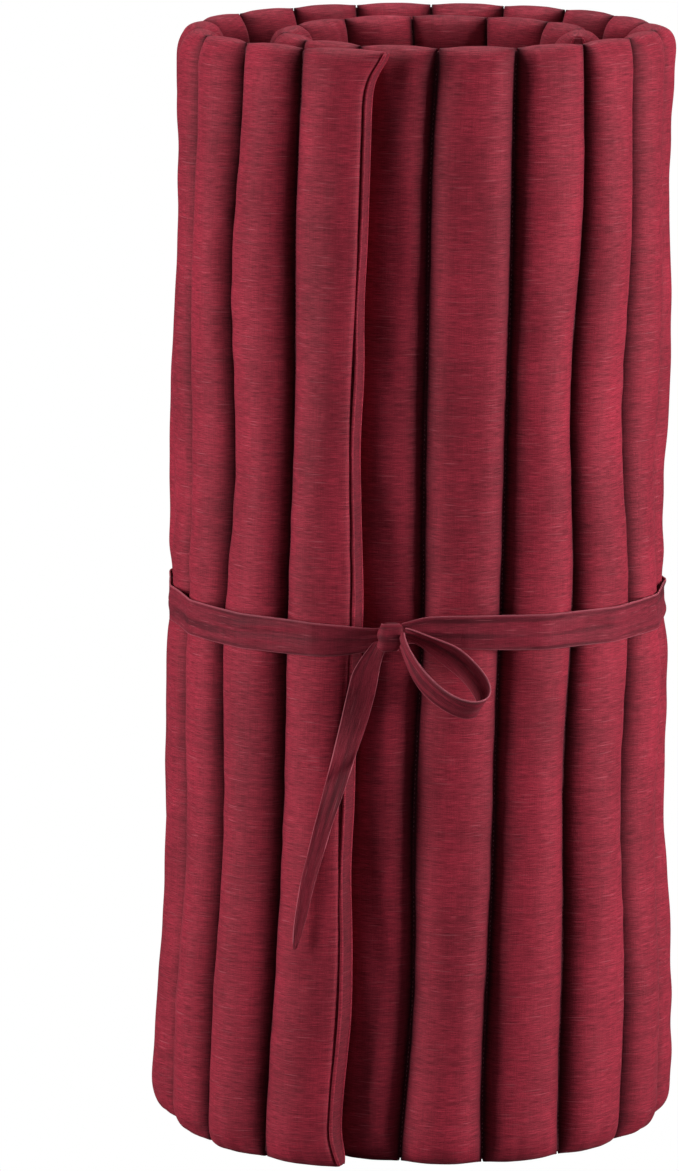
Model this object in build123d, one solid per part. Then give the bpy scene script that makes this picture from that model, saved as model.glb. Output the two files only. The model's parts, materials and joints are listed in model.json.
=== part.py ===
from build123d import *
import math
import os

# A channel-quilted kapok mattress rolled into a standing coil and tied round its middle.
# Frame: +Z up along the channels, the knot and the free end of the mattress face -Y,
# the origin is on the floor at the centre of the whole part's plan box. Millimetres and degrees.

# ---- driving dimensions
MATTRESS_WIDTH = 1050.0  # the mattress's width, and so the height of the roll
CHANNEL_COUNT = 28
CHANNEL_PITCH = 71.5  # from seam to seam
CHANNEL_HALF_THICKNESS = 23.5
OUTER_SEAMS, OUTER_TURN = 14, 19.0  # seams of the outer coil and how far each one bends
JOIN_SEAMS, JOIN_TURN = 5, 23.0  # seams where the coil steps in under its free end
CORE_TURN = 29.0  # bend of each remaining seam, round the hollow core
FREE_END_ANGLE = 14.3  # the free end lies this far left of the front
SEAM_TRIM = 1.5  # a channel's edge stops this far short of the seam's line

CASING_THICKNESS = 1.0
FILLING_CLEARANCE = 0.2
END_ROUNDING = 20.0  # of the pillow-like channel ends
END_HALF_THICKNESS = 24.5  # of the block that rounds them, clear of the crowns

END_CUT = 5.0  # the free and the core edge are cut flat this far from the last seam line
BORDER_THICKNESS = 2.0
BORDER_HALF_HEIGHT = 8.0
BORDER_MARGIN = 10.0  # from each channel end

TIE_WIDTH = 34.0
TIE_THICKNESS = 1.6
TIE_HEIGHT = 505.0  # of the tie's centre line above the floor
TIE_GAP = 0.3  # between the tie and the crowns that it lies on
TIE_END_TRIM = 0.7  # a length of tie ends this far short of the seam's plane
TIED_CHANNELS = 18  # the outer channels that the tie lies on
ANCHOR_CHANNEL = 9  # the tie is sewn down on this one, opposite the knot
ANCHOR_SIZE = (30.0, 42.0)
ANCHOR_THICKNESS = 1.2

KNOT_CENTRE_X = -25.0
KNOT_CENTRE_Z = 509.0
KNOT_SIZE = (24.0, 18.0, 27.0)
KNOT_ROUNDING = 6.0
KNOT_CLEARANCE = 0.6  # to the tie's far end, where the loop of the tie is opened

LOOP_LENGTH = 108.0
LOOP_WIDTH = 30.0
LOOP_RADIUS = 14.0
LOOP_NECK_RADIUS = 4.0
LOOP_DROOP = 31.0  # below the horizontal
LOOP_TILT = 30.0  # its front layer hangs this much lower than its back layer
LOOP_SWING_OUT = 7.0  # away from the mattress, towards its far end
LOOP_DEPTH_FROM_KNOT = 6.0  # of the loop's near end in front of the knot's centre
LOOP_CLEARANCE = 0.3  # to the knot's side

TAIL_PIVOT = (-9.0, -25.0)  # across and up from the knot's centre
TAIL_LENGTH = 281.0  # from the pivot to the point
TAIL_WIDTHS = (25.0, 27.0, 20.0)  # at the pivot, at its widest and above the point
TAIL_WIDEST = 80.0
TAIL_SLANT = 22.0  # the point's long side is this much longer than its short side
TAIL_THICKNESS = 2.2
TAIL_LEAN = 16.5  # to the left of straight down
TAIL_GAP = 3.5  # between the tail's back and the foremost crown
TAIL_CLEARANCE = 0.4  # to the stub that it hangs from
TAIL_FURTHEST_LEANS = (-25.0, 60.0)  # to the right and to the left of straight down

# ---- worked-out values
HALF_CHORD = CHANNEL_PITCH / 2
ARC_RADIUS = (HALF_CHORD**2 + CHANNEL_HALF_THICKNESS**2) / (2 * CHANNEL_HALF_THICKNESS)
ARC_DROP = ARC_RADIUS - CHANNEL_HALF_THICKNESS  # from a channel's middle to its arc's centre
COIL_RADIUS = HALF_CHORD / math.sin(math.radians(OUTER_TURN / 2))


def seam_turns():
    """How far each seam between two channels bends, from the free end inward."""
    core_seams = CHANNEL_COUNT - 1 - OUTER_SEAMS - JOIN_SEAMS
    return [OUTER_TURN] * OUTER_SEAMS + [JOIN_TURN] * JOIN_SEAMS + [CORE_TURN] * core_seams


def coil():
    """The seam points, from the free end clockwise inward, and each channel's heading."""
    start = -90 - FREE_END_ANGLE
    point = Vector(
        COIL_RADIUS * math.cos(math.radians(start)),
        COIL_RADIUS * math.sin(math.radians(start)),
        0,
    )
    heading = start - OUTER_TURN / 2 - 90
    points = [point]
    headings = []
    for turn in [*seam_turns(), 0]:
        step = Vector(CHANNEL_PITCH, 0, 0).rotate(Axis.Z, heading)
        points.append(points[-1] + step)
        headings.append(heading)
        heading -= turn
    return points, headings


SEAM_POINTS, HEADINGS = coil()


def channel_place(number):
    """The place of a channel: local X runs inward along the coil, local Y points out of it."""
    middle = (SEAM_POINTS[number - 1] + SEAM_POINTS[number]) / 2
    return Location(middle, (0, 0, HEADINGS[number - 1]))


def arc_centre(number):
    """The centre of the arc of a channel's outer side."""
    return (channel_place(number) * Location((0, -ARC_DROP, 0))).position


def pillow(inset, outer_cut=SEAM_TRIM, inner_cut=SEAM_TRIM):
    """One stuffed channel as a closed solid: a lens in plan with rounded ends."""
    circle = Circle(ARC_RADIUS - inset)
    low = -HALF_CHORD + outer_cut + inset
    high = HALF_CHORD - inner_cut - inset
    edge_cut = Pos((low + high) / 2, 0) * Rectangle(high - low, 4 * ARC_RADIUS)
    plan = (Pos(0, -ARC_DROP) * circle) & (Pos(0, ARC_DROP) * circle) & edge_cut
    block = Box(
        4 * HALF_CHORD,
        2 * (END_HALF_THICKNESS - inset),
        MATTRESS_WIDTH - 2 * inset,
    )
    block = fillet(block.edges().filter_by(Axis.X), END_ROUNDING - inset)
    prism = extrude(plan, MATTRESS_WIDTH)
    return prism & (Pos(0, 0, MATTRESS_WIDTH / 2) * block)


def channel(outer_cut=SEAM_TRIM, inner_cut=SEAM_TRIM):
    """The casing of one channel, a closed shell, and the kapok filling inside it."""
    casing = pillow(0, outer_cut, inner_cut) - pillow(CASING_THICKNESS, outer_cut, inner_cut)
    filling = pillow(CASING_THICKNESS + FILLING_CLEARANCE, outer_cut, inner_cut)
    return [casing.solid(), filling.solid()]


def border(side):
    """The flat strip that closes the end of the mattress, on the -1 or the +1 local X side."""
    strip = Box(
        BORDER_THICKNESS,
        2 * BORDER_HALF_HEIGHT,
        MATTRESS_WIDTH - 2 * BORDER_MARGIN,
    )
    across = side * (HALF_CHORD - END_CUT + BORDER_THICKNESS / 2)
    return Pos(across, 0, MATTRESS_WIDTH / 2) * strip


def tie_length(bend_before, bend_after, end_before, end_after):
    """One length of tie over a crown: it follows the crown's arc, then runs on straight.

    The bends are how far it turns on each side of the crown, and the ends are local X.
    """
    inner = ARC_RADIUS + TIE_GAP
    centre = Vector(0, -ARC_DROP)

    def ring_point(radius, bend):
        return centre + Vector(0, radius).rotate(Axis.Z, -bend)

    def run_on(point, bend, end):
        return point + Vector(1, -math.tan(math.radians(bend))) * (end - point.X)

    def side(radius):
        before = ring_point(radius, -bend_before)
        after = ring_point(radius, bend_after)
        top = ring_point(radius, (bend_after - bend_before) / 2)
        first = run_on(before, -bend_before, end_before)
        last = run_on(after, bend_after, end_after)
        return first, before, top, after, last

    low = side(inner)
    high = side(inner + TIE_THICKNESS)
    lines = Curve()
    for first, before, top, after, last in (low, high):
        lines += Line(first, before)
        lines += ThreePointArc(before, top, after)
        lines += Line(after, last)
    lines += Line(low[0], high[0])
    lines += Line(low[-1], high[-1])
    strip = extrude(make_face(lines), TIE_WIDTH)
    return Pos(0, 0, TIE_HEIGHT - TIE_WIDTH / 2) * strip


def knot_bridge():
    """The straight stretch of the tie across the free end: its heading, and its outer normal."""
    run = arc_centre(1) - arc_centre(TIED_CHANNELS)
    heading = math.degrees(math.atan2(run.Y, run.X))
    normal = Vector(0, 1).rotate(Axis.Z, heading)
    return heading % 360 - 360, normal


def bridge_point(x, standing_out):
    """A point on the bridge at a given X, this far out of the line of the crowns."""
    heading, normal = knot_bridge()
    start = arc_centre(1) + normal * (ARC_RADIUS + standing_out)
    return start + Vector(1, math.tan(math.radians(heading))) * (x - start.X)


def tie_lengths():
    """The tie's lengths by channel number, each in its channel's own place."""
    bridge_heading, _ = knot_bridge()
    seam_plane = HALF_CHORD - TIE_END_TRIM
    turns = seam_turns()
    lengths = {}
    for number in range(1, TIED_CHANNELS + 1):
        bend_before = turns[number - 2] / 2
        bend_after = turns[number - 1] / 2
        end_before = -seam_plane
        end_after = seam_plane
        here = channel_place(number)
        if number == 1:
            bend_before = bridge_heading - HEADINGS[0]
            knot_side = bridge_point(KNOT_CENTRE_X - KNOT_SIZE[0] / 2, TIE_GAP)
            end_before = (here.inverse() * Location(knot_side)).position.X
        if number == TIED_CHANNELS:
            bend_after = max(HEADINGS[number - 1] - bridge_heading, 0.1)
            knot_side = bridge_point(
                KNOT_CENTRE_X + KNOT_SIZE[0] / 2 + KNOT_CLEARANCE, TIE_GAP
            )
            end_after = (here.inverse() * Location(knot_side)).position.X
        lengths[number] = here * tie_length(bend_before, bend_after, end_before, end_after)
    return lengths


def anchor_patch():
    """The patch that holds the tie to the mattress at the back."""
    width, height = ANCHOR_SIZE
    patch = Box(width, ANCHOR_THICKNESS, height)
    patch = fillet(patch.edges().filter_by(Axis.Y), 4)
    out = CHANNEL_HALF_THICKNESS + TIE_GAP + TIE_THICKNESS + ANCHOR_THICKNESS / 2 + 0.1
    return channel_place(ANCHOR_CHANNEL) * Pos(0, out, TIE_HEIGHT) * patch


def knot_centre():
    """The middle of the knot, whose back is flush with the back of the tie."""
    back = bridge_point(KNOT_CENTRE_X, TIE_GAP)
    return Vector(back.X, back.Y - KNOT_SIZE[1] / 2, KNOT_CENTRE_Z)


def tail_pivot():
    """Where the tail bends as it swings, at the back of the tail."""
    foremost = min(arc_centre(n).Y for n in range(1, TIED_CHANNELS + 1)) - ARC_RADIUS
    across, up = TAIL_PIVOT
    return Vector(KNOT_CENTRE_X + across, foremost - TAIL_GAP, KNOT_CENTRE_Z + up)


def knot():
    """The wrap of the knot, with the short stub that the tail hangs from."""
    wrap = Location(knot_centre()) * fillet(Box(*KNOT_SIZE).edges(), KNOT_ROUNDING)
    pivot = tail_pivot()
    top_width = TAIL_WIDTHS[0]
    stub_height = knot_centre().Z - pivot.Z
    stub = Pos(pivot.X, pivot.Y - TAIL_THICKNESS / 2, pivot.Z + stub_height / 2) * Box(
        top_width, TAIL_THICKNESS, stub_height
    )
    # the tail's rounded top turns in a round hole, and its edges swing past the stub
    depth = 3 * TAIL_THICKNESS
    room = Rotation(90, 0, 0) * Cylinder(top_width / 2 + TAIL_CLEARANCE, depth)
    below = (Align.CENTER, Align.CENTER, Align.MAX)
    strap_room = Box(TAIL_WIDTHS[1] + 2 * TAIL_CLEARANCE, depth, stub_height, align=below)
    for lean in TAIL_FURTHEST_LEANS:
        room += Rotation(0, lean, 0) * strap_room
    return wrap + stub - Location(pivot) * room


def bow_loop():
    """The single loop of the half bow: a strap bent into a teardrop, seen half open."""
    reach = LOOP_LENGTH - LOOP_RADIUS
    lean = math.asin((LOOP_RADIUS - LOOP_NECK_RADIUS) / reach)
    across, along = math.cos(lean), math.sin(lean)

    def outline(inset):
        eye = LOOP_RADIUS - inset
        neck = LOOP_NECK_RADIUS - inset
        neck_low = (-neck * along, -neck * across)
        neck_high = (-neck * along, neck * across)
        eye_low = (reach - eye * along, -eye * across)
        eye_high = (reach - eye * along, eye * across)
        lines = Line(neck_low, eye_low)
        lines += ThreePointArc(eye_low, (reach + eye, 0), eye_high)
        lines += Line(eye_high, neck_high)
        lines += ThreePointArc(neck_high, (-neck, 0), neck_low)
        return make_face(lines)

    # X runs away from the knot, Y through the two layers, and Z is the strap's width
    strap = extrude(outline(0) - outline(TIE_THICKNESS), LOOP_WIDTH / 2, both=True)
    turned = Rotation(0, LOOP_DROOP, 0) * Rotation(0, 0, -LOOP_SWING_OUT)
    turned = turned * Rotation(LOOP_TILT, 0, 0) * strap
    knot_side = KNOT_CENTRE_X + KNOT_SIZE[0] / 2
    middle = knot_centre()
    start = Vector(
        knot_side + LOOP_NECK_RADIUS, middle.Y - LOOP_DEPTH_FROM_KNOT, middle.Z
    )
    beside = (Align.MAX, Align.CENTER, Align.CENTER)
    hidden = Box(LOOP_LENGTH, LOOP_LENGTH, LOOP_LENGTH, align=beside)
    hidden = Pos(knot_side + LOOP_CLEARANCE, start.Y, start.Z) * hidden
    return Location(start) * turned - hidden


def tail():
    """The loose end of the tie: a flat strap that hangs from the knot to a slanted point."""
    at_top, widest, at_point = TAIL_WIDTHS
    outline = Polyline(
        (at_top / 2, 0),
        (widest / 2, -TAIL_WIDEST),
        (at_point / 2, -TAIL_LENGTH + TAIL_SLANT),
        (-at_point / 2, -TAIL_LENGTH),
        (-widest / 2, -TAIL_WIDEST),
        (-at_top / 2, 0),
    )
    rounded_top = ThreePointArc((-at_top / 2, 0), (0, at_top / 2), (at_top / 2, 0))
    strap = extrude(make_face(outline + rounded_top), TAIL_THICKNESS)
    # the outline's Y becomes the part's Z, and the thickness grows towards -Y
    return Location(tail_pivot()) * Rotation(0, TAIL_LEAN, 0) * Rotation(90, 0, 0) * strap


def nodes():
    """Every piece by its node's name, each as a list of solids about the coil's centre."""
    found = {}
    plain = channel()
    for number in range(1, CHANNEL_COUNT + 1):
        solids = plain
        if number == 1:
            solids = channel(outer_cut=END_CUT)
        if number == CHANNEL_COUNT:
            solids = channel(inner_cut=END_CUT)
        found[f"channel_{number:02d}"] = [channel_place(number) * s for s in solids]
    found["free_end_border"] = [channel_place(1) * border(-1)]
    found["core_end_border"] = [channel_place(CHANNEL_COUNT) * border(1)]
    for number, length in tie_lengths().items():
        found[f"tie_length_{number:02d}"] = [length]
    found["tie_anchor_patch"] = [anchor_patch()]
    found["tie_knot"] = [knot()]
    found["bow_loop"] = [bow_loop()]
    found["tie_tail"] = [tail()]
    return found


def main():
    os.makedirs("parts", exist_ok=True)
    found = nodes()
    boxes = [s.bounding_box() for solids in found.values() for s in solids]
    low = Vector(*(min(tuple(box.min)[axis] for box in boxes) for axis in range(3)))
    high = Vector(*(max(tuple(box.max)[axis] for box in boxes) for axis in range(3)))
    to_origin = Pos(-(low.X + high.X) / 2, -(low.Y + high.Y) / 2, 0)
    for name, solids in found.items():
        piece = Compound([(to_origin * s).solid() for s in solids])
        piece.label = name
        export_step(piece, f"parts/{name}.step")
    print("origin moved by", to_origin.position, "size", high - low)


main()
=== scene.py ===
import json
import math

import bpy
import numpy as np
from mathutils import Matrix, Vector


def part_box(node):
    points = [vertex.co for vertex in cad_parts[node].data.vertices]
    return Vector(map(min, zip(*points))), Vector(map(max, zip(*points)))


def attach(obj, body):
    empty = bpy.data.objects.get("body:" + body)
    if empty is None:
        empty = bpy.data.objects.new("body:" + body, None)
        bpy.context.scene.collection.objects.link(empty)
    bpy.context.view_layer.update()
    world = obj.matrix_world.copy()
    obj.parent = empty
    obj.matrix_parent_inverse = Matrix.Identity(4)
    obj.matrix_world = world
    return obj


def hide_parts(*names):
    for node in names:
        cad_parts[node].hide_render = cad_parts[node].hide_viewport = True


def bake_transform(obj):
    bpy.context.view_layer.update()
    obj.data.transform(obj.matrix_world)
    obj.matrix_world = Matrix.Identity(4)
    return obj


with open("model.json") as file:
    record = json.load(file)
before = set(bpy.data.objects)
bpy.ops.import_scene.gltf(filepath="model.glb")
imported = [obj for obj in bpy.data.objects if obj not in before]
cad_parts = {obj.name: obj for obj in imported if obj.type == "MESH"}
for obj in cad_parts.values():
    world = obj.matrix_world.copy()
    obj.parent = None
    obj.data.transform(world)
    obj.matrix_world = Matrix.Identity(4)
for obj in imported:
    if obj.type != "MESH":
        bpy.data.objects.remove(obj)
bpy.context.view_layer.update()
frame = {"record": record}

# A channel-quilted kapok mattress, rolled up, standing on end and tied round its middle.
# Metres, in the frame of the CAD model: Z up, the knot and the mattress's free end face -Y.

RECORD = frame["record"]

# ---- sizes of what the CAD leaves plain
HALF_THICKNESS = 0.0235
EDGE_HALF_THICKNESS = 0.0007  # of a channel where it is stitched shut
END_ROUNDING = 0.034
END_FULLNESS = 2.3  # exponent of the rounding: 2 is a circle, more is squarer
END_DIP = 0.0018  # a channel's end is drawn in this far beside its seams
FREE_EDGE_CUT = 0.005  # the free and core edges are boxed this far from the last seam line

TIE_HEIGHT = 0.505
TIE_WIDTH = 0.034
CLOTH = 0.0009  # thickness of the tie's cloth
TIED_CHANNELS = 18
TIE_BITE = 0.0022  # how deep the tie presses into the crowns

COLUMNS = 15  # across one side of a channel
MEASURED_ROW = 60  # the ring of a channel, away from its ends, where its cloth is measured
SEAM_GAP = 0.0005  # from a channel's edge to the middle of the seam
CREASE_SHADE_REACH = 0.0055  # how fast the painted shade at a seam fades away from it
EAR_TOP, EAR_FOOT = 0.016, 0.009  # how far the free end's two corners stick out
EAR_HEIGHT = 0.022  # how fast they die out along the edge

# ---- how the real roll stands
WAIST = 0.76  # its narrowest place, as a share of its height
WAIST_SPREAD, FOOT_SPREAD, TOP_SPREAD = 0.988, 0.066, 0.006
TWIST = math.radians(3.0)  # each way from half height
LEAN = 0.0045
WANDER = 0.0034  # how far hand-guided seams stray from straight


# ---- the coil, from the record's joints
JOINTS = {j["name"]: j for j in RECORD["behaviour"]["joints"]}
CHANNELS = sum(name.startswith("quilt_") for name in RECORD["behaviour"]["bodies"])
MIDDLE_SEAM = CHANNELS // 2


def seam_joint(number):
    """The joint at the seam between channel number and the next one inward."""
    return JOINTS["unroll" if number == MIDDLE_SEAM else f"seam_{number:02d}"]


def turned(vector, degrees):
    a = math.radians(degrees)
    x, y = vector
    return np.array([x * math.cos(a) - y * math.sin(a), x * math.sin(a) + y * math.cos(a)])


def coil():
    """Seam points 0 to CHANNELS in plan, from the free end inward, and each seam's bend in degrees."""
    inner = [np.array(seam_joint(n)["pos_m"][:2]) for n in range(1, CHANNELS)]
    bends = [seam_joint(n)["range_deg"][1] for n in range(1, CHANNELS)]
    first = turned(inner[1] - inner[0], bends[0])
    last = turned(inner[-1] - inner[-2], -bends[-1])
    return np.array([inner[0] - first, *inner, inner[-1] + last]), [0.0, *bends, 0.0]


SEAMS, BENDS = coil()
PITCH = float(np.linalg.norm(SEAMS[2] - SEAMS[1]))
HALF_CHORD = PITCH / 2
ARC_RADIUS = (HALF_CHORD**2 + HALF_THICKNESS**2) / (2 * HALF_THICKNESS)
ARC_DROP = ARC_RADIUS - HALF_THICKNESS
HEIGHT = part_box("channel_02")[1][2]


def circle_centre(points):
    """The centre of the circle through points that lie on one."""
    rows = np.c_[2 * points, np.ones(len(points))]
    return np.linalg.lstsq(rows, (points**2).sum(1), rcond=None)[0][:2]


AXIS = circle_centre(SEAMS[:15])


def body(number):
    return f"quilt_{number:02d}"


def place(number):
    """A channel's middle in plan, its heading inward along the coil, and its outward normal."""
    a, b = SEAMS[number - 1], SEAMS[number]
    along = (b - a) / np.linalg.norm(b - a)
    return (a + b) / 2, along, np.array([-along[1], along[0]])


def from_channel(number, local):
    """Points in a channel's own place (x inward along the coil, y outward, z up) as frame points."""
    middle, along, out = place(number)
    plan = middle + local[..., 0:1] * along + local[..., 1:2] * out
    return np.concatenate([plan, local[..., 2:3]], axis=-1)


def settle(points):
    """The lean, twist and spread of the real roll, which stands a little askew and squat at its foot."""
    p = np.array(points, float)
    up = p[..., 2] / HEIGHT
    low = np.clip((WAIST - up) / WAIST, 0, None)
    high = np.clip((up - WAIST) / (1 - WAIST), 0, None)
    spread = WAIST_SPREAD + FOOT_SPREAD * low**2 + TOP_SPREAD * high**2
    twist = TWIST * np.clip(2 * up - 1, -1.05, 1.05)
    lean = LEAN * (2 * up - 1)
    x, y = p[..., 0] - AXIS[0], p[..., 1] - AXIS[1]
    c, s = np.cos(twist), np.sin(twist)
    wander = [waves(points, seed, (0.2, 0.2, 0.36)) for seed in (11, 12)]
    p[..., 0] = AXIS[0] + spread * (x * c - y * s) + lean + WANDER * wander[0]
    p[..., 1] = AXIS[1] + spread * (x * s + y * c) + 0.6 * WANDER * wander[1]
    return p


def waves(points, seed, lengths, count=9):
    """Smooth seeded noise from about -1 to 1. lengths are its wavelengths along each axis."""
    rng = np.random.default_rng(seed)
    total = np.zeros(points.shape[:-1])
    for _ in range(count):
        k = rng.normal(size=3)
        k *= rng.uniform(0.6, 1.4) / np.linalg.norm(k)
        phase = rng.uniform(0, 2 * math.pi)
        total += np.sin((points * (2 * math.pi * k / np.array(lengths))).sum(-1) + phase)
    return total * math.sqrt(2 / count) / 1.6


def upright(z):
    """Points straight up one line, for waves along a seam."""
    return np.stack([0 * z, 0 * z, z], -1)


def flat_points(run, across):
    """Points of flat cloth at distances along it and across it, for waves."""
    run, across = np.broadcast_arrays(run, across)
    return np.stack([run, across, 0 * run], -1)


def run_length(points):
    """Distances along a line of points from its first one."""
    steps = np.linalg.norm(np.diff(points, axis=0), axis=-1)
    return np.concatenate([[0], np.cumsum(steps)])


def plan_normals(path):
    """Unit normals of a plan path, on its left side."""
    steps = np.gradient(path, axis=0)
    normals = np.stack([-steps[:, 1], steps[:, 0]], -1)
    return normals / np.linalg.norm(normals, axis=-1, keepdims=True)


# ---- meshes
def added(name, data):
    """An object of the data in the scene."""
    obj = bpy.data.objects.new(name, data)
    bpy.context.scene.collection.objects.link(obj)
    return obj


def mesh_object(name, vertices, faces, uvs, material, slot, crown=1.0, worn=0.0):
    """A smooth mesh object. uvs holds one pair for each face corner, in metres of cloth.

    crown is 0 where its cloth lies deep in a crease, where it is painted darker as shade, and 1 where it
    is open and left unshaded, and worn is 1 along hems that have rubbed lighter.
    """
    mesh = bpy.data.meshes.new(name)
    mesh.from_pydata(vertices.tolist(), [], faces.tolist())
    layer = mesh.uv_layers.new(name="cloth")
    layer.data.foreach_set("uv", np.asarray(uvs, np.float32).ravel())
    for key, value in (("crown", crown), ("worn", worn)):
        layer = mesh.attributes.new(key, "FLOAT", "POINT")
        layer.data.foreach_set("value", np.broadcast_to(value, len(vertices)).astype(np.float32))
    mesh.polygons.foreach_set("use_smooth", np.ones(len(faces), bool))
    mesh.materials.append(material)
    mesh.update()
    obj = added(name, mesh)
    return obj


def grid_faces(rows, columns, around=False):
    """Quads of a grid of points and each corner's (row, column), joined end to end if around."""
    wide = columns if around else columns - 1
    r, c = np.meshgrid(np.arange(rows - 1), np.arange(wide), indexing="ij")
    r, c = r.ravel(), c.ravel()
    corners = [(r, c), (r, c + 1), (r + 1, c + 1), (r + 1, c)]
    faces = np.stack([a * columns + b % columns for a, b in corners], 1)
    return faces, np.stack([np.stack(pair, 1) for pair in corners], 1)


def tube(rings, across, along):
    """A closed skin of rings of points: vertices, faces and UVs, with both end rings filled in.

    across and along are cloth metres, one for each column (and one more) and one for each row.
    """
    rows, columns = rings.shape[:2]
    faces, corners = grid_faces(rows, columns, around=True)
    uvs = np.stack([across[corners[..., 1]], along[corners[..., 0]]], -1)
    vertices = rings.reshape(-1, 3)
    half = columns // 2
    caps, cap_uvs = [], []
    for row, flip in ((0, False), (rows - 1, True)):
        for i in range(half - 1):
            quad = [i, columns - 1 - i, columns - 2 - i, i + 1]
            if flip:
                quad = quad[::-1]
            caps.append([row * columns + q for q in quad])
            cap_uvs += [(across[q], along[row]) for q in quad]
    faces = np.concatenate([faces, np.array(caps, int).reshape(-1, 4)])
    uvs = np.concatenate([uvs.reshape(-1, 2), np.array(cap_uvs, float).reshape(-1, 2)])
    return vertices, faces, uvs


def subdivided(obj, levels=1):
    modifier = obj.modifiers.new("smooth", "SUBSURF")
    modifier.levels = levels
    modifier.render_levels = levels
    return obj


# ---- materials
class Nodes:
    """Short names for building a node tree."""

    def __init__(self, tree):
        self.tree = tree

    def add(self, kind, **inputs):
        node = self.tree.nodes.new(kind)
        for key, value in inputs.items():
            self.put(node.inputs[key.replace("_", " ")], value)
        return node

    def put(self, socket, value):
        if isinstance(value, bpy.types.NodeSocket):
            self.tree.links.new(value, socket)
        else:
            socket.default_value = value

    def math(self, operation, a, b=0.0):
        node = self.tree.nodes.new("ShaderNodeMath")
        node.operation = operation
        self.put(node.inputs[0], a)
        self.put(node.inputs[1], b)
        return node.outputs[0]

    def noise(self, vector, scale, size, detail=2.0, roughness=0.5):
        """Noise from 0 to 1 of cloth coordinates stretched by scale, (across, along)."""
        mapping = self.add("ShaderNodeMapping", Vector=vector, Scale=(*scale, 1.0))
        node = self.add(
            "ShaderNodeTexNoise",
            Vector=mapping.outputs[0],
            Scale=size,
            Detail=detail,
            Roughness=roughness,
        )
        return node.outputs["Fac"]

    def ramp(self, value, *stops):
        node = self.add("ShaderNodeValToRGB", Fac=value)
        while len(node.color_ramp.elements) < len(stops):
            node.color_ramp.elements.new(0.5)
        for element, (position, colour) in zip(node.color_ramp.elements, stops):
            element.position = position
            element.color = (*colour, 1.0)
        return node.outputs[0]

    def mix(self, kind, factor, a, b):
        node = self.tree.nodes.new("ShaderNodeMix")
        node.data_type = "RGBA"
        node.blend_type = kind
        self.put(node.inputs[0], factor)
        self.put(node.inputs[6], a)
        self.put(node.inputs[7], b)
        return node.outputs[2]

    def shaded(self, share, colour, value, dark, light):
        """colour multiplied, by a share, by greys that follow value. dark and light are (value, grey)."""
        stops = [(at, (grey,) * 3) for at, grey in (dark, light)]
        return self.mix("MULTIPLY", share, colour, self.ramp(value, *stops))

    def attribute(self, name):
        node = self.tree.nodes.new("ShaderNodeAttribute")
        node.attribute_name = name
        return node.outputs["Fac"]


def new_material(name):
    """A material, its node helper and its shader."""
    material = bpy.data.materials.new(name)
    material.use_nodes = True
    tree = material.node_tree
    return material, Nodes(tree), tree.nodes["Principled BSDF"]


def slub_cloth(name, deep, bright, thread=(0.5, 0.11, 0.14), sheen=0.06, folds=0.0):
    """Cross-woven cotton: a dark warp under a red weft whose thick and thin threads run across.

    folds is how strongly painted shade darkens the lines of lengthwise folds, for a strap.
    """
    material, nodes, shader = new_material(name)
    cloth = nodes.add("ShaderNodeTexCoord").outputs["UV"]

    weft = nodes.noise(cloth, (85, 1500), 1.0, detail=3.0, roughness=0.6)
    slubs = nodes.noise(cloth, (34, 700), 1.0, detail=1.0)
    warp = nodes.noise(cloth, (1300, 30), 1.0, detail=2.0)
    blotches = nodes.noise(cloth, (14, 9), 1.0, detail=3.0)
    grain = nodes.noise(cloth, (1100, 1300), 1.0, detail=2.0)
    streaks = nodes.noise(cloth, (11, 230), 1.0, detail=2.0)

    colour = nodes.ramp(weft, (0.3, deep), (0.72, bright))
    colour = nodes.shaded(0.5, colour, warp, (0.3, 0.62), (0.62, 1.0))
    colour = nodes.shaded(0.55, colour, grain, (0.33, 0.42), (0.66, 1.0))
    colour = nodes.shaded(0.6, colour, blotches, (0.3, 0.6), (0.7, 1.2))
    colour = nodes.shaded(0.45, colour, streaks, (0.34, 0.62), (0.6, 1.1))
    if folds:
        # painted shade: bluish dark lines along the strap stand in for the shade in its folds
        lines = nodes.noise(cloth, (5, 120), 1.0, detail=1.0)
        painted_fold_shade = nodes.ramp(lines, (0.36, (0.3, 0.26, 0.34)), (0.5, (1, 1, 1)))
        colour = nodes.mix("MULTIPLY", folds, colour, painted_fold_shade)
    light_slub = nodes.ramp(slubs, (0.65, (0, 0, 0)), (0.76, (0.42,) * 3))
    colour = nodes.mix("MIX", light_slub, colour, (*thread, 1.0))
    # painted shade: the cloth is multiplied towards a bluish near-black where its crown attribute marks a
    # crease
    crease = nodes.ramp(nodes.attribute("crown"), (0.0, (0.15, 0.13, 0.2)), (0.9, (1, 1, 1)))
    colour = nodes.mix("MULTIPLY", 1.0, colour, crease)
    rubbed = nodes.math("MULTIPLY", nodes.attribute("worn"), 0.5)
    colour = nodes.mix("MIX", rubbed, colour, (0.56, 0.15, 0.19, 1.0))
    nodes.put(shader.inputs["Base Color"], colour)

    rough = nodes.ramp(weft, (0.3, (0.78,) * 3), (0.75, (0.62,) * 3))
    nodes.put(shader.inputs["Roughness"], rough)
    shader.inputs["Specular IOR Level"].default_value = 0.2
    shader.inputs["Sheen Weight"].default_value = sheen
    shader.inputs["Sheen Roughness"].default_value = 0.38
    shader.inputs["Sheen Tint"].default_value = (1.0, 0.55, 0.6, 1.0)

    relief = nodes.math("ADD", nodes.math("MULTIPLY", weft, 0.6), nodes.math("MULTIPLY", slubs, 0.5))
    relief = nodes.math("ADD", relief, nodes.math("MULTIPLY", grain, 0.35))
    bump = nodes.add("ShaderNodeBump", Height=relief, Distance=0.0005, Strength=0.7)
    nodes.put(shader.inputs["Normal"], bump.outputs[0])
    return material


QUILT = slub_cloth("quilt_cloth", (0.19, 0.008, 0.023), (0.55, 0.034, 0.068))
TIE = slub_cloth("tie_cloth", (0.17, 0.008, 0.021), (0.37, 0.023, 0.05), sheen=0.08, folds=0.6)


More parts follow.
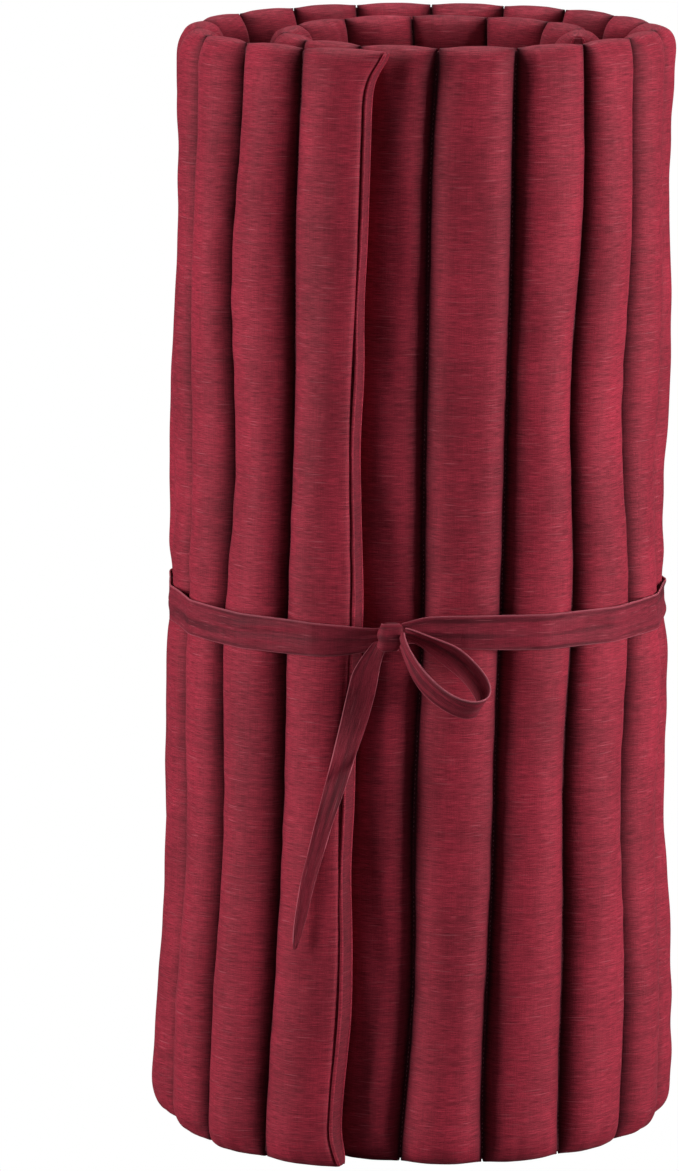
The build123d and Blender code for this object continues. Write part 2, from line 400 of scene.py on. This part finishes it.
def thread_material():
    material, nodes, shader = new_material("stitch_thread")
    cloth = nodes.add("ShaderNodeTexCoord").outputs["UV"]
    twist = nodes.noise(cloth, (2500, 900), 1.0)
    colour = nodes.ramp(twist, (0.3, (0.12, 0.01, 0.02)), (0.7, (0.42, 0.07, 0.1)))
    nodes.put(shader.inputs["Base Color"], colour)
    shader.inputs["Roughness"].default_value = 0.6
    shader.inputs["Sheen Weight"].default_value = 0.3
    return material


THREAD = thread_material()


# ---- channels
def end_levels():
    """Distances from a channel's end where its skin has rings, close together where it rounds over."""
    steps = np.linspace(0, math.pi / 2, 10)[:-1]
    return END_ROUNDING * (1 - np.cos(steps))


def channel_levels():
    low = end_levels()
    middle = np.linspace(END_ROUNDING, HEIGHT - END_ROUNDING, 112)
    return np.concatenate([low, middle, HEIGHT - low[::-1]])


def end_factor(distance):
    """How full a channel is at a distance from its end, 0 to 1."""
    t = np.clip(1 - distance / END_ROUNDING, 0, 1)
    return (1 - t**END_FULLNESS) ** (1 / END_FULLNESS)


def channel_rings(number):
    """The skin of one channel in its own place, as rings of points from its foot to its top."""
    low, high = SEAM_GAP - HALF_CHORD, HALF_CHORD - SEAM_GAP
    if number == 1:
        low = FREE_EDGE_CUT - HALF_CHORD
    if number == CHANNELS:
        high = HALF_CHORD - FREE_EDGE_CUT
    angles = np.linspace(math.asin(low / ARC_RADIUS), math.asin(high / ARC_RADIUS), COLUMNS + 1)
    x = ARC_RADIUS * np.sin(angles)
    lens = ARC_RADIUS * np.cos(angles) - ARC_DROP
    oval = HALF_THICKNESS * np.sqrt(np.clip(1 - (x / HALF_CHORD) ** 2, 0, 1))
    oval *= np.clip((HALF_CHORD - np.abs(x)) / 0.0015, 0, 1) ** 0.5
    outside, inside = (lens + share * (oval - lens) for share in (0.62, 0.3))
    z = channel_levels()
    distance = np.minimum(z, HEIGHT - z)
    full = end_factor(distance)[:, None]

    side_x = np.concatenate([x, x[::-1]])
    side_out = np.concatenate([outside, -inside[::-1]])
    sign = np.concatenate([np.ones(COLUMNS + 1), -np.ones(COLUMNS + 1)])
    rings = np.zeros((len(z), len(side_x), 3))
    rings[..., 0] = side_x
    rings[..., 1] = side_out * full + sign * EDGE_HALF_THICKNESS
    rings[..., 2] = z[:, None]

    near_end = np.exp(-distance / 0.03)[:, None]
    middle = np.cos(math.pi * side_x / PITCH) ** 2
    inward = np.where(z < HEIGHT / 2, 1, -1)[:, None]
    rings[..., 2] += inward * END_DIP * near_end * (1 - middle) ** 2

    seed = 100 * number
    soft = rings + (0, 0, 3 * number)
    lumps = waves(soft, seed, (0.09, 0.09, 0.26)) * 0.0019
    dents = waves(soft, seed + 1, (0.045, 0.045, 0.06)) * 0.0007
    flank = np.exp(-(HALF_CHORD - np.abs(side_x)) / 0.009)
    pulls = waves(soft, seed + 2, (0.2, 0.2, 0.028)) * 0.0013 * flank
    gathers = waves(soft, seed + 3, (0.014, 0.2, 0.16)) * 0.0019
    gathers *= np.exp(-distance / 0.024)[:, None] * np.clip(distance / 0.004, 0, 1)[:, None]
    pinch = 0.0
    if number <= TIED_CHANNELS:
        pressed = np.exp(-(((z - TIE_HEIGHT - 0.002) / 0.032) ** 4))[:, None] * (sign > 0)
        pinch = TIE_BITE * pressed * middle
        lumps = lumps * (1 - pressed)
        dents = dents * (1 - pressed)
    rings[..., 1] += sign * ((lumps + dents) * full * middle**0.4 + pulls + gathers * middle**0.5 - pinch)
    return rings, x, z


def channel(number):
    rings, x, z = channel_rings(number)
    if number == 1:
        rings = dog_ears(rings, x, z)
    girth = run_length(rings[MEASURED_ROW, :, :2])
    across = np.concatenate([girth, [girth[-1]]]) + number * PITCH
    vertices, faces, uvs = tube(settle(from_channel(number, rings)), across, z)
    # painted shade: crown falls towards 0 at each seam, so the cloth is painted darker there
    to_seam = HALF_CHORD - np.abs(rings[..., 0])
    if number in (1, CHANNELS):  # no seam at the boxed edge
        boxed = rings[..., 0] < 0 if number == 1 else rings[..., 0] > 0
        to_seam = np.where(boxed, HALF_CHORD, to_seam)
    crown = 1 - np.exp(-to_seam.ravel() / CREASE_SHADE_REACH)
    name = f"quilt_channel_{number:02d}"
    obj = subdivided(mesh_object(name, vertices, faces, uvs, QUILT, "quilt_fabric", crown))
    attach(obj, body(number))
    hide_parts(f"channel_{number:02d}")


def dog_ears(rings, x, z):
    """The free end's corners stick out past the border, as a sewn corner does."""
    rings = rings.copy()
    edge = np.exp(-(rings[..., 0] - x[0]) / 0.012)
    for distance, reach in ((HEIGHT - z, EAR_TOP), (z, EAR_FOOT)):
        near = np.exp(-((distance / EAR_HEIGHT) ** 2))[:, None]
        rings[..., 0] -= reach * near * edge
    return rings


for number in range(1, CHANNELS + 1):
    channel(number)


# ---- flat cloth
def cloth(name, grid, thickness, material=None, slot="tie_fabric", start=0.0, crown=1.0, across=None):
    """A thin closed skin of cloth whose middle is a grid of points, rows along it.

    thickness is a number or one for each column. start is where its weave starts along it, and across
    is each column's place across its flat width, if that isn't the width of its middle row.
    """
    normal = np.cross(np.gradient(grid, axis=1), np.gradient(grid, axis=0))
    normal /= np.linalg.norm(normal, axis=-1, keepdims=True)
    half = np.broadcast_to(np.asarray(thickness) / 2, grid.shape[:2])[..., None] * normal
    rings = np.concatenate([grid + half, (grid - half)[:, ::-1]], axis=1)
    if across is None:
        across = run_length(grid[len(grid) // 2])
    width = across[-1]
    across = np.concatenate([across, 2 * width - across[::-1], [2 * width]])
    along = run_length(grid[:, grid.shape[1] // 2]) + start
    vertices, faces, uvs = tube(rings, across, along)
    if material is None:  # the strap is cut along the weft, so its slubs run along it
        uvs = uvs[:, ::-1]
    worn = np.zeros(rings.shape[:2])
    columns = grid.shape[1]
    for column in (0, columns - 1, columns, 2 * columns - 1):
        worn[:, column] = 1.0 if material is None else 0.0
    obj = mesh_object(name, vertices, faces, uvs, material or TIE, slot, crown, worn.ravel())
    return subdivided(obj)


def settled(obj):
    """Takes a finished mesh to where the real roll's lean, twist and spread put it."""
    points = np.empty(3 * len(obj.data.vertices), np.float32)
    obj.data.vertices.foreach_get("co", points)
    obj.data.vertices.foreach_set("co", settle(points.reshape(-1, 3)).astype(np.float32).ravel())
    obj.data.update()
    return obj


# ---- seams between the channels
STITCH_STEP = 0.0045
STITCH = (0.0013, 0.0003)  # half its length and its radius


def stitches(points, along, out):
    """Spindles of thread centred on points, lying along a direction: vertices, faces and UVs."""
    side = np.cross(along, out)
    half, radius = STITCH
    shape = [-half * along, radius * out, radius * side, -radius * out, -radius * side, half * along]
    vertices = (points[:, None] + np.array(shape)[None]).reshape(-1, 3)
    one = [(0, a, b) for a, b in ((1, 2), (2, 3), (3, 4), (4, 1))]
    one += [(5, b, a) for _, a, b in one]
    faces = (6 * np.arange(len(points))[:, None, None] + np.array(one)[None]).reshape(-1, 3)
    uvs = vertices[faces.ravel()][:, 1:]
    return vertices, faces, uvs


def seam(number):
    """The sewn web at a seam, with a line of stitches along each side of it."""
    at = SEAMS[number]
    along = place(number)[1] + place(number + 1)[1]
    along /= np.linalg.norm(along)
    out = np.array([-along[1], along[0]])
    margin = 0.004
    z = np.linspace(margin, HEIGHT - margin, 150)
    across = np.array([-0.0027, -0.0016, 0.0, 0.0016, 0.0027])
    pucker = 0.0005 * waves(upright(z), 700 + number, (1, 1, 0.03))
    grid = np.zeros((len(z), len(across), 3))
    grid[..., :2] = at + across[None, :, None] * along + pucker[:, None, None] * out
    grid[..., 2] = z[:, None]
    # painted shade: the web's low crown paints it nearly black, as shade deep in the valley
    web = cloth(f"seam_web_{number:02d}", grid, 0.0022, QUILT, "quilt_fabric", crown=0.1)
    stitch_z = np.arange(0.012, HEIGHT - 0.012, STITCH_STEP)
    sides = []
    for side in (1, -1):
        plan = at + side * 0.0012 * out
        points = np.column_stack([np.tile(plan, (len(stitch_z), 1)), stitch_z])
        sides.append(points)
    thread = stitches(np.concatenate(sides), np.array([0, 0, 1.0]), np.array([*out, 0.0]))
    thread = mesh_object(f"seam_stitches_{number:02d}", *thread, THREAD, "quilt_fabric")
    for piece in (web, thread):
        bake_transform(piece)
        settled(piece)


# ---- borders of the mattress's two ends
PIPING_RADIUS = 0.0017


def border(name, number, side):
    """The boxed edge that closes an end of the mattress, with a piped ridge along each side of it."""
    edge = side * (HALF_CHORD - FREE_EDGE_CUT)
    half = math.sqrt(ARC_RADIUS**2 - edge**2) - ARC_DROP
    z = np.linspace(0.003, HEIGHT - 0.003, 150)
    distance = np.minimum(z, HEIGHT - z)
    tall = np.clip(half * end_factor(distance), 0.0012, None)
    ear = 0 * z
    if number == 1:
        ear = np.where(z > HEIGHT / 2, EAR_TOP, EAR_FOOT) * np.exp(-((distance / EAR_HEIGHT) ** 2))
    sway = 0.0007 * waves(upright(z), 400 + number, (1, 1, 0.12))
    x = edge + side * (0.0010 + ear) + sway
    across = np.linspace(-1, 1, 7)
    local = np.zeros((len(z), 7, 3))
    local[..., 0] = x[:, None] + side * 0.0010 * (1 - across**2)
    local[..., 1] = tall[:, None] * across
    local[..., 2] = z[:, None]
    grid = from_channel(number, local)
    grid = grid if side < 0 else grid[:, ::-1]
    # painted shade: the strip's crown of 0.45 darkens it as shade between its two piped ridges
    strip = cloth(f"{name}_cloth", grid, 0.0016, QUILT, "quilt_fabric", crown=0.45)
    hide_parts(name)
    pieces = [strip]
    turn = np.linspace(0, 2 * math.pi, 10, endpoint=False)
    for edge_name, sign in (("outer", 1), ("inner", -1)):
        local = np.zeros((len(z), len(turn), 3))
        local[..., 0] = (x + side * 0.0003)[:, None] + PIPING_RADIUS * np.cos(turn)
        local[..., 1] = (sign * tall)[:, None] + PIPING_RADIUS * np.sin(turn)
        local[..., 2] = z[:, None]
        across_cloth = 0.0011 * np.arange(len(turn) + 1)
        skin = tube(from_channel(number, local), across_cloth, z)
        piping = mesh_object(f"{name}_{edge_name}_piping", *skin, QUILT, "quilt_fabric")
        pieces.append(subdivided(piping))
    for piece in pieces:
        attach(piece, body(number))
        settled(piece)


for number in range(1, CHANNELS):
    seam(number)
border("free_end_border", 1, -1)
border("core_end_border", CHANNELS, 1)


# ---- the tie
KNOT_HALF = np.array([0.012, 0.009, 0.0135])
KNOT_SQUARENESS = 3.0  # exponent of its outline in plan: 2 is an ellipse, more is squarer
KNOT_LOW, KNOT_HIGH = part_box("tie_knot")
KNOT_X = KNOT_HIGH[0] - KNOT_HALF[0]
KNOT = np.array([KNOT_X, KNOT_LOW[1] + KNOT_HALF[1], KNOT_HIGH[2] - KNOT_HALF[2]])
TIE_RADIUS = ARC_RADIUS - TIE_BITE + CLOTH / 2 + 0.0004
TIE_ACROSS = np.array([-1, -0.93, -0.78, -0.55, -0.28, 0, 0.28, 0.55, 0.72, 0.88, 1.0])
TIE_LAP = 0.0013  # how far neighbouring lengths of the tie run over each other


def arc(centre, first, last, count=7):
    """Plan points on the tie's arc round a channel, from one outward direction to another."""
    a = math.atan2(first[1], first[0])
    turn = (math.atan2(last[1], last[0]) - a + math.pi) % (2 * math.pi) - math.pi
    angles = a + turn * np.linspace(0, 1, count)
    return centre + TIE_RADIUS * np.stack([np.cos(angles), np.sin(angles)], -1)


def tie_path(first, last):
    """The tie's way in plan from the crown of one channel to the crown of another, pulled tight."""
    (a, _, out_a), (b, _, out_b) = place(first), place(last)
    a, b = a - ARC_DROP * out_a, b - ARC_DROP * out_b
    run = (b - a) / np.linalg.norm(b - a)
    normal = np.array([-run[1], run[0]])
    if normal @ (a - AXIS) < 0:
        normal = -normal
    start, end = arc(a, out_a, normal), arc(b, normal, out_b)
    middle = start[-1] + np.linspace(0, 1, 14)[1:-1, None] * (end[0] - start[-1])
    return np.concatenate([start, middle, end])


def tie_rise(plan):
    """How far the tie's middle lies above its height, a little higher to the right of the knot."""
    right = np.clip((plan[:, 0] - KNOT_X) / 0.03, 0, 1) * np.exp(-((plan[:, 0] - KNOT_X) / 0.16) ** 2)
    left = np.clip((KNOT_X - plan[:, 0]) / 0.02, 0, 1) * np.exp(-((plan[:, 0] - KNOT_X) / 0.05) ** 2)
    front = plan[:, 1] < AXIS[1]
    return front * (0.006 * right - 0.004 * left)


def hemmed(across, hem=2.0):
    """The tie's thickness at each column, which is doubled where it is hemmed."""
    return CLOTH * np.where(np.abs(across) > 0.75, hem, 1.2)


def tie_surface(path, run):
    """Heights of the tie's middle surface along a plan path, and how far it lies outside the path.

    run is each row's distance along the whole tie.
    """
    to_knot = np.hypot(path[:, 0] - KNOT[0], path[:, 1] - KNOT[1])
    gathered = np.exp(-np.clip(to_knot - 0.012, 0, None) / 0.028)
    half = TIE_WIDTH / 2 * (1 - 0.5 * gathered)
    u = TIE_ACROSS[None, :]
    middle = TIE_HEIGHT + tie_rise(path) + (KNOT[2] - TIE_HEIGHT) * gathered
    heights = middle[:, None] + half[:, None] * u
    wrinkle = waves(flat_points(run[:, None], u * TIE_WIDTH / 2), 31, (0.11, 0.014, 1)) * 0.0018
    fold_at = 0.35 + 0.3 * np.sin(21 * run)[:, None]
    fold = np.exp(-(((u - fold_at) / 0.13) ** 2)) * (0.5 + 0.5 * np.sin(9 * run + 1)[:, None])
    wrinkle += 0.0016 * fold
    lip = 0.0011 * np.clip((u - 0.6) / 0.3, 0, 1)
    fan = 0.0013 * gathered[:, None] * np.sin(2 * math.pi * 1.6 * u + 1)
    out = np.abs(wrinkle) * (1 - u**4 * 0.4) + lip + fan + 0.0013
    return heights, out


def whole_path():
    """Plan paths of the tie's lengths from the knot's left side round to its right side."""
    bridge = tie_path(1, TIED_CHANNELS)
    x, y = bridge.T
    ends = [KNOT_X - KNOT_HALF[0] + 0.004, KNOT_X + KNOT_HALF[0] - 0.002]
    ways = []
    for end, side in zip(ends, (-1, 1)):
        kept = bridge[side * x > side * end]
        height = np.interp(end, x[np.argsort(x)], y[np.argsort(x)])
        last = np.array([[end, height]])
        nearest = kept[np.abs(kept[:, 0] - end).argmin()]
        extra = nearest + np.linspace(0, 1, 5)[1:, None] * (last - nearest)
        order = np.argsort(-side * kept[:, 0])
        ways.append(np.concatenate([kept[order], extra]))
    left, right = ways[0][::-1], ways[1]
    middles = [tie_path(n, n + 1) for n in range(1, TIED_CHANNELS)]
    return [left, *middles, right]


def tie():
    """The tie's lengths, each blended between the two channels that it joins."""
    run = 0.0
    for index, path in enumerate(whole_path()):
        first, last = path[0] - path[1], path[-1] - path[-2]
        first, last = (TIE_LAP * step / np.linalg.norm(step) for step in (first, last))
        path = np.concatenate([path[:1] + first, path, path[-1:] + last])
        along = run_length(path)
        heights, out = tie_surface(path, run + along)
        normals = plan_normals(path)
        outward = np.sign(((path - AXIS) * normals).sum(-1).mean())
        grid = np.zeros((*heights.shape, 3))
        grid[..., :2] = path[:, None] + (outward * out)[..., None] * normals[:, None]
        grid[..., 2] = heights
        flat_across = (TIE_ACROSS + 1) * TIE_WIDTH / 2
        strap = cloth(f"tie_strap_{index:02d}", grid, hemmed(TIE_ACROSS), start=run, across=flat_across)
        if index in (0, TIED_CHANNELS):
            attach(strap, body(max(index, 1)))
        else:
            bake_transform(strap)
        settled(strap)
        if index:
            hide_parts(f"tie_length_{index:02d}")
        run += along[-1] - 2 * TIE_LAP


# ---- the knot, its loop and its tail
def squarish(value):
    """A sine or cosine, changed so that a circle of them becomes the knot's squarish outline."""
    return np.sign(value) * np.abs(value) ** (2 / KNOT_SQUARENESS)


def knot():
    """The wrap round the tie: a creased core with the strap's turn laid over its front."""
    z = np.linspace(-1, 1, 21)
    turn = np.linspace(0, 2 * math.pi, 48, endpoint=False)
    round_x, round_y = squarish(np.cos(turn)), squarish(np.sin(turn))
    full = (1 - np.abs(z) ** 4.5) ** (1 / 2.6)
    full = np.clip(full, 0.45, 1)[:, None]
    points = np.stack([round_x + 0 * full, round_y + 0 * full, z[:, None] + 0 * round_x], -1)
    crease = 1 + 0.05 * waves(points, 61, (0.5, 0.5, 3.0))
    rings = np.zeros((len(z), len(turn), 3))
    rings[..., 0] = KNOT[0] + 0.93 * KNOT_HALF[0] * round_x * full * crease
    rings[..., 1] = KNOT[1] + 0.0006 + 0.9 * KNOT_HALF[1] * round_y * full * crease
    rings[..., 2] = KNOT[2] + 0.95 * KNOT_HALF[2] * z[:, None]
    skin = tube(rings, 0.0013 * np.arange(len(turn) + 1), 0.026 * (z + 1) / 2)
    core = subdivided(mesh_object("tie_knot_core", *skin, TIE, "tie_fabric"))

    # the outer turn runs from behind the left side over the front to a crisp edge at the right
    turn = np.radians(np.linspace(170, 338, 26))
    across = np.array([-1, -0.94, -0.8, -0.5, -0.2, 0.1, 0.4, 0.7, 0.9, 1.0])
    t = np.linspace(0, 1, len(turn))[:, None]
    u = across[None, :]
    ridge = 0.07 * np.sin(math.pi * (2.3 * u + 1.1 * t))
    ridge += 0.05 * np.sin(math.pi * (4.1 * u - 1.7 * t + 0.4))
    fall = (1 - np.abs(u) ** 5.0) ** (1 / 2.6)
    grow = (1.03 + 1.3 * ridge) * np.clip(fall, 0.62, 1) - 0.09 * np.exp(-((u / 0.5) ** 2)) * (1 - t)
    grid = np.zeros((len(turn), len(across), 3))
    grid[..., 0] = KNOT[0] + KNOT_HALF[0] * squarish(np.cos(turn))[:, None] * grow
    grid[..., 1] = KNOT[1] + KNOT_HALF[1] * squarish(np.sin(turn))[:, None] * grow
    grid[..., 2] = KNOT[2] + KNOT_HALF[2] * (0.94 * u + 0.05 * (t - 0.5))
    wrap = cloth("tie_knot_wrap", grid, 1.3 * CLOTH)
    for piece in (core, wrap):
        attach(piece, body(1))
        settled(piece)
    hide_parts("tie_knot")


def turn_matrix(axis, degrees):
    a = math.radians(degrees)
    c, s = math.cos(a), math.sin(a)
    if axis == "X":
        return np.array([[1, 0, 0], [0, c, -s], [0, s, c]])
    if axis == "Y":
        return np.array([[c, 0, s], [0, 1, 0], [-s, 0, c]])
    return np.array([[c, -s, 0], [s, c, 0], [0, 0, 1]])


LOOP_LENGTH = 0.101
LOOP_EYE = 0.023  # half of how wide it opens
LOOP_DROOP, LOOP_SWING_OUT, LOOP_TILT = 39.0, 11.0, 42.0  # degrees


def loop():
    """The half bow's one loop: out from the knot, round its open eye and back, lower in front."""
    phase = np.linspace(0, 2 * math.pi, 49)
    x = -0.004 + LOOP_LENGTH * (1 - np.cos(phase)) / 2
    y = LOOP_EYE * np.sin(phase) * np.abs(np.sin(phase / 2)) ** 0.6
    y += 0.002 * np.cos(phase / 2)
    x_end = np.clip(x / 0.05, 0, 1)
    half = 0.0075 + 0.0085 * (3 * x_end**2 - 2 * x_end**3)
    u = TIE_ACROSS[None, :]
    path = np.stack([x, y], -1)
    run = run_length(path)[:, None]
    gather = np.exp(-np.clip(x, 0, None) / 0.03)[:, None]
    ripple = 0.0010 * np.sin(2 * math.pi * (1.5 * u + 6 * run)) * (0.35 + gather)
    ripple += 0.0008 * waves(flat_points(run, u * 0.015), 91, (0.05, 0.014, 1))
    local = np.zeros((len(x), u.shape[1], 3))
    local[..., :2] = path[:, None] + ripple[..., None] * plan_normals(path)[:, None]
    local[..., 2] = half[:, None] * u
    # the front leaf's free edge folds over a little towards the eye
    front = np.clip(run / run[-1] - 0.5, 0, 0.5) * 2
    local[..., 1] -= 0.004 * front * (1 - front) * 4 * np.clip(u, 0, 1) ** 2
    matrix = turn_matrix("Y", LOOP_DROOP) @ turn_matrix("Z", -LOOP_SWING_OUT) @ turn_matrix("X", LOOP_TILT)
    start = np.array([KNOT[0] + KNOT_HALF[0] + 0.001, KNOT[1] - 0.006, KNOT[2]])
    grid = local @ matrix.T + start
    piece = cloth("bow_loop_strap", grid, hemmed(TIE_ACROSS))
    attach(piece, body(1))
    settled(piece)
    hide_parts("bow_loop")


# the tail's stations: how far below the knot's middle, how far across from it, and how wide
TAIL_STATIONS = np.array([
    (0.003, -0.008, 0.014),
    (0.015, -0.015, 0.021),
    (0.029, -0.0215, 0.0265),
    (0.054, -0.0265, 0.0285),
    (0.079, -0.0325, 0.0275),
    (0.104, -0.0395, 0.0250),
    (0.123, -0.0450, 0.0230),
    (0.154, -0.0540, 0.0200),
    (0.178, -0.0615, 0.0180),
    (0.209, -0.0695, 0.0160),
    (0.233, -0.0760, 0.0145),
    (0.259, -0.0810, 0.0125),
    (0.275, -0.0840, 0.0105),
    (0.290, -0.0868, 0.0060),
    (0.296, -0.0878, 0.0012),
])


def tail():
    """The loose end: it leaves the knot's lower left side, turns once and comes to a point."""
    down = np.linspace(TAIL_STATIONS[0, 0], TAIL_STATIONS[-1, 0], 84)
    across, width = (np.interp(down, TAIL_STATIONS[:, 0], TAIL_STATIONS[:, i]) for i in (1, 2))
    for _ in range(3):
        across[1:-1] = (across[:-2] + 2 * across[1:-1] + across[2:]) / 4
        width[1:-1] = (width[:-2] + 2 * width[1:-1] + width[2:]) / 4
    low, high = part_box("tie_tail")
    lies_at = (low[1] + high[1]) / 2
    leaving = np.exp(-((down / 0.024) ** 2))
    depth = lies_at + (KNOT[1] - lies_at) * leaving
    across_width = np.array([-1, -0.93, -0.8, -0.72, -0.4, 0.0, 0.4, 0.72, 0.8, 0.93, 1.0])
    u = across_width[None, :]
    turn = np.interp(down, (0.0, 0.05, 0.11, 0.135, 0.2, 0.296), (0.2, -0.1, -0.55, 0.35, 0.1, -0.1))
    curl = 0.0010 * waves(flat_points(down[:, None], 0.012 * u), 77, (0.06, 0.016, 1))
    grid = np.zeros((len(down), u.shape[1], 3))
    grid[..., 0] = KNOT[0] + across[:, None] + width[:, None] / 2 * u
    grid[..., 1] = depth[:, None] - width[:, None] / 2 * u * np.sin(turn)[:, None] - np.abs(curl) - 0.001
    grid[..., 2] = KNOT[2] - down[:, None] + 0.15 * width[:, None] * u
    piece = cloth("tie_tail_strap", grid, hemmed(across_width, hem=2.1))
    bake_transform(piece)
    points = np.array([vertex.co for vertex in piece.data.vertices])
    points[:, 1] = settle(points)[:, 1]
    piece.data.vertices.foreach_set("co", points.astype(np.float32).ravel())
    piece.data.update()
    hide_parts("tie_tail")


ANCHOR_CHANNEL = 9


def anchor():
    """The stitched patch that holds the tie at the back."""
    half_width, half_height = 0.015, 0.021
    x = np.linspace(-half_width, half_width, 13)
    u = np.linspace(-half_height, half_height, 15)
    local = np.zeros((len(x), len(u), 3))
    local[..., 0] = x[:, None]
    arch = np.sqrt(TIE_RADIUS**2 - x**2) - ARC_DROP
    puff = 0.0012 * np.cos(x / half_width * 1.4)[:, None] * np.cos(u / half_height * 1.4)[None]
    local[..., 1] = arch[:, None] + 0.0022 + puff
    local[..., 2] = TIE_HEIGHT + u
    patch = cloth("tie_anchor_cloth", from_channel(ANCHOR_CHANNEL, local), 0.0012)
    edge = []
    for t in np.arange(-0.0118, 0.012, 0.0034):
        edge += [(t, -0.018), (t, 0.018)]
    for t in np.arange(-0.0165, 0.017, 0.0034):
        edge += [(-0.0125, t), (0.0125, t)]
    edge = np.array(edge)
    local = np.zeros((len(edge), 3))
    local[:, 0] = edge[:, 0]
    local[:, 1] = np.sqrt(TIE_RADIUS**2 - edge[:, 0] ** 2) - ARC_DROP + 0.0033
    local[:, 2] = TIE_HEIGHT + edge[:, 1]
    _, _, out = place(ANCHOR_CHANNEL)
    points = from_channel(ANCHOR_CHANNEL, local)
    thread = stitches(points, np.array([0, 0, 1.0]), np.array([*out, 0.0]))
    thread = mesh_object("tie_anchor_stitches", *thread, THREAD, "tie_fabric")
    for piece in (patch, thread):
        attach(piece, body(ANCHOR_CHANNEL))
        settled(piece)
    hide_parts("tie_anchor_patch")


tie()
knot()
loop()
tail()
anchor()


# ---- camera, light and floor
def camera():
    data = bpy.data.cameras.new("camera")
    obj = added("camera", data)
    obj.location = (0.0, -6.0, 1.67)
    target = Vector((-0.0752, 0.0, 0.516))
    obj.rotation_euler = (target - obj.location).to_track_quat("-Z", "Y").to_euler()
    data.sensor_width = 36.0
    data.lens = 197.0
    bpy.context.scene.camera = obj


def area_light(name, place_at, aim, size, power):
    data = bpy.data.lights.new(name, "AREA")
    data.shape = "RECTANGLE"
    data.size, data.size_y = size
    data.energy = power
    obj = added(name, data)
    obj.location = place_at
    obj.rotation_euler = (Vector(aim) - obj.location).to_track_quat("-Z", "Y").to_euler()


def seen_white(nodes, shader, white, output):
    """Links output to the white shader for camera rays, and to the other one for every other ray."""
    seen = nodes.add("ShaderNodeLightPath").outputs["Is Camera Ray"]
    mixed = nodes.add("ShaderNodeMixShader", Fac=seen)
    nodes.put(mixed.inputs[1], shader.outputs[0])
    nodes.put(mixed.inputs[2], white.outputs[0])
    nodes.put(output.inputs["Surface"], mixed.outputs[0])


def floor_paper():
    """Pure white to the camera, and grey paper to every other ray."""
    material, nodes, shader = new_material("floor_paper")
    shader.inputs["Base Color"].default_value = (0.2, 0.2, 0.2, 1.0)
    shader.inputs["Roughness"].default_value = 0.9
    glow = nodes.add("ShaderNodeEmission", Color=(1, 1, 1, 1), Strength=1.0)
    seen_white(nodes, shader, glow, nodes.tree.nodes["Material Output"])
    return material


def floor():
    mesh = bpy.data.meshes.new("floor")
    side = 14.0
    corners = [(-side, -side, 0), (side, -side, 0), (side, side, 0), (-side, side, 0)]
    mesh.from_pydata(corners, [], [(0, 1, 2, 3)])
    mesh.materials.append(floor_paper())
    added("floor", mesh)


def studio():
    world = bpy.data.worlds.new("studio")
    world.use_nodes = True
    nodes = Nodes(world.node_tree)
    fill = world.node_tree.nodes["Background"]
    fill.inputs["Color"].default_value = (0.8, 0.75, 1.0, 1)
    fill.inputs["Strength"].default_value = 0.02
    paper = nodes.add("ShaderNodeBackground", Color=(1, 1, 1, 1), Strength=1.0)
    seen_white(nodes, fill, paper, world.node_tree.nodes["World Output"])
    bpy.context.scene.world = world
    bpy.context.scene.view_settings.view_transform = "Standard"
    area_light("left_box", (-2.6, -0.98, 0.9), (0, 0, 0.5), (0.7, 2.0), 80)
    area_light("right_box", (2.6, -0.9, 0.9), (0, 0, 0.5), (0.7, 2.0), 96)
    area_light("front_box", (0.3, -3.2, 1.7), (0, 0, 0.5), (0.7, 0.9), 4.5)
    area_light("top_box", (0, 0.5, 2.9), (0, 0, 0.9), (1.6, 1.6), 42)


camera()
studio()
floor()
